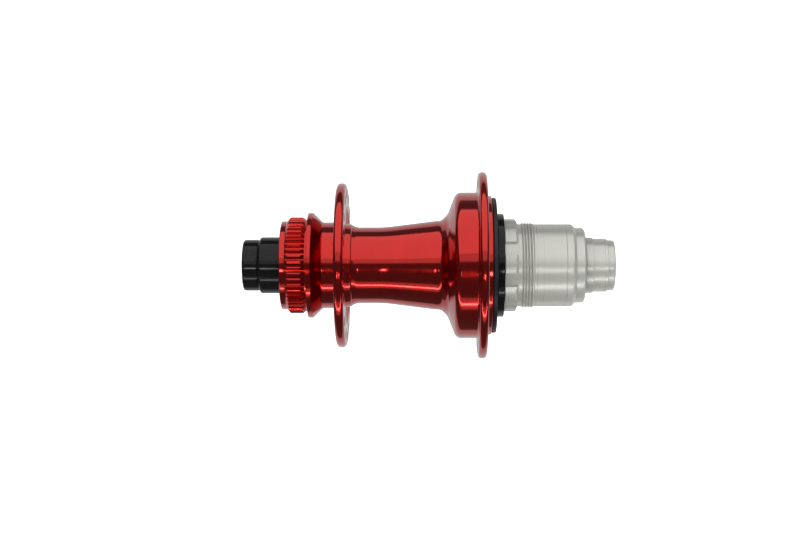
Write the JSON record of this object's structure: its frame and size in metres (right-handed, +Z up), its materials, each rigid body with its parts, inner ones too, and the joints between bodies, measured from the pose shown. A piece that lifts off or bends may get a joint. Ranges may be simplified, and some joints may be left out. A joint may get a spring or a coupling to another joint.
{
  "type": "bicycle rear hub",
  "caption": "Rear bicycle hub: red flanged shell with a splined rotor seat, ratchet freehub with sprung pawls, cartridge bearings and push-on end caps on a through-bored axle.",
  "frame": {"origin": "on the hub's axis, midway between the two faces that the frame clamps", "axes": "+X along the axle towards the drive side, +Z up, and the wheel's top moves towards +Y when rolling forward"},
  "size_m": [0.148, 0.0746, 0.0746],
  "materials": {
    "red_anodised_aluminium": "polished and dyed red",
    "black_anodised_aluminium": "gloss black",
    "turned_aluminium": "fine turned, satin",
    "hardened_steel": "ground",
    "black_rubber": "smooth, slightly shiny"
  },
  "bodies": {
    "axle_group": {"axle": "turned_aluminium", "hub_spacer": "turned_aluminium", "freehub_spacer": "turned_aluminium", "left_cap_o_ring": "black_rubber", "right_cap_o_ring": "black_rubber", "left_end_cap": "black_anodised_aluminium", "right_end_cap": "turned_aluminium", "left_bearing_inner_race": "hardened_steel", "right_bearing_inner_race": "hardened_steel", "freehub_inner_bearing_inner_race": "hardened_steel", "freehub_outer_bearing_inner_race": "hardened_steel"},
    "wheel_group": {"hub_shell": "red_anodised_aluminium", "left_dust_seal": "black_rubber", "ratchet_ring": "hardened_steel", "left_bearing_outer_race": "hardened_steel", "left_bearing_shield_left": "black_rubber", "left_bearing_shield_right": "black_rubber", "right_bearing_outer_race": "hardened_steel", "right_bearing_shield_left": "black_rubber", "right_bearing_shield_right": "black_rubber"},
    "driver_group": {"freehub_body": "turned_aluminium", "freehub_seal": "black_rubber", "freehub_collar": "black_anodised_aluminium", "freehub_circlip": "hardened_steel", "pawl_spring_1": "hardened_steel", "pawl_spring_2": "hardened_steel", "pawl_spring_3": "hardened_steel", "pawl_spring_4": "hardened_steel", "pawl_spring_5": "hardened_steel", "pawl_spring_6": "hardened_steel", "freehub_inner_bearing_outer_race": "hardened_steel", "freehub_inner_bearing_shield_left": "black_rubber", "freehub_inner_bearing_shield_right": "black_rubber", "freehub_outer_bearing_outer_race": "hardened_steel", "freehub_outer_bearing_shield_left": "black_rubber", "freehub_outer_bearing_shield_right": "black_rubber"},
    "left_bearing_cage": {"left_bearing_ball_cage": "hardened_steel"},
    "right_bearing_cage": {"right_bearing_ball_cage": "hardened_steel"},
    "freehub_inner_bearing_cage": {"freehub_inner_bearing_ball_cage": "hardened_steel"},
    "freehub_outer_bearing_cage": {"freehub_outer_bearing_ball_cage": "hardened_steel"},
    "pawl_1": {"pawl_1": "hardened_steel"},
    "pawl_2": {"pawl_2": "hardened_steel"},
    "pawl_3": {"pawl_3": "hardened_steel"},
    "pawl_4": {"pawl_4": "hardened_steel"},
    "pawl_5": {"pawl_5": "hardened_steel"},
    "pawl_6": {"pawl_6": "hardened_steel"}
  },
  "joints": [
    {"name": "wheel_spin", "type": "hinge", "parent": "axle_group", "child": "wheel_group", "pos_m": [0, 0, 0], "axis": [-1, 0, 0], "continuous": true},
    {"name": "coast", "type": "hinge", "parent": "wheel_group", "child": "driver_group", "pos_m": [0, 0, 0], "axis": [1, 0, 0], "continuous": true},
    {"name": "left_bearing_cage_spin", "type": "hinge", "parent": "axle_group", "child": "left_bearing_cage", "pos_m": [0, 0, 0], "axis": [-1, 0, 0], "continuous": true},
    {"name": "right_bearing_cage_spin", "type": "hinge", "parent": "axle_group", "child": "right_bearing_cage", "pos_m": [0, 0, 0], "axis": [-1, 0, 0], "continuous": true},
    {"name": "freehub_inner_bearing_cage_spin", "type": "hinge", "parent": "axle_group", "child": "freehub_inner_bearing_cage", "pos_m": [0, 0, 0], "axis": [-1, 0, 0], "continuous": true},
    {"name": "freehub_outer_bearing_cage_spin", "type": "hinge", "parent": "axle_group", "child": "freehub_outer_bearing_cage", "pos_m": [0, 0, 0], "axis": [-1, 0, 0], "continuous": true},
    {"name": "pawl_1_fold", "type": "hinge", "parent": "driver_group", "child": "pawl_1", "pos_m": [0.0177, 0.00992, 0.01719], "axis": [-1, 0, 0], "range_deg": [0, 8], "stiffness_Nm_per_rad": 0.01, "springref_deg": -11.46},
    {"name": "pawl_2_fold", "type": "hinge", "parent": "driver_group", "child": "pawl_2", "pos_m": [0.0177, 0.01985, 0], "axis": [-1, 0, 0], "range_deg": [0, 8], "stiffness_Nm_per_rad": 0.01, "springref_deg": -11.46},
    {"name": "pawl_3_fold", "type": "hinge", "parent": "driver_group", "child": "pawl_3", "pos_m": [0.0177, 0.00992, -0.01719], "axis": [-1, 0, 0], "range_deg": [0, 8], "stiffness_Nm_per_rad": 0.01, "springref_deg": -11.46},
    {"name": "pawl_4_fold", "type": "hinge", "parent": "driver_group", "child": "pawl_4", "pos_m": [0.0177, -0.00992, -0.01719], "axis": [-1, 0, 0], "range_deg": [0, 8], "stiffness_Nm_per_rad": 0.01, "springref_deg": -11.46},
    {"name": "pawl_5_fold", "type": "hinge", "parent": "driver_group", "child": "pawl_5", "pos_m": [0.0177, -0.01985, 0], "axis": [-1, 0, 0], "range_deg": [0, 8], "stiffness_Nm_per_rad": 0.01, "springref_deg": -11.46},
    {"name": "pawl_6_fold", "type": "hinge", "parent": "driver_group", "child": "pawl_6", "pos_m": [0.0177, -0.00992, 0.01719], "axis": [-1, 0, 0], "range_deg": [0, 8], "stiffness_Nm_per_rad": 0.01, "springref_deg": -11.46}
  ],
  "couplings": [
    {"joint": "left_bearing_cage_spin", "follows": "wheel_spin", "ratio": 0.5851},
    {"joint": "right_bearing_cage_spin", "follows": "wheel_spin", "ratio": 0.5851},
    {"joint": "freehub_inner_bearing_cage_spin", "follows": "wheel_spin", "ratio": 0.5851},
    {"joint": "freehub_outer_bearing_cage_spin", "follows": "wheel_spin", "ratio": 0.5644}
  ]
}
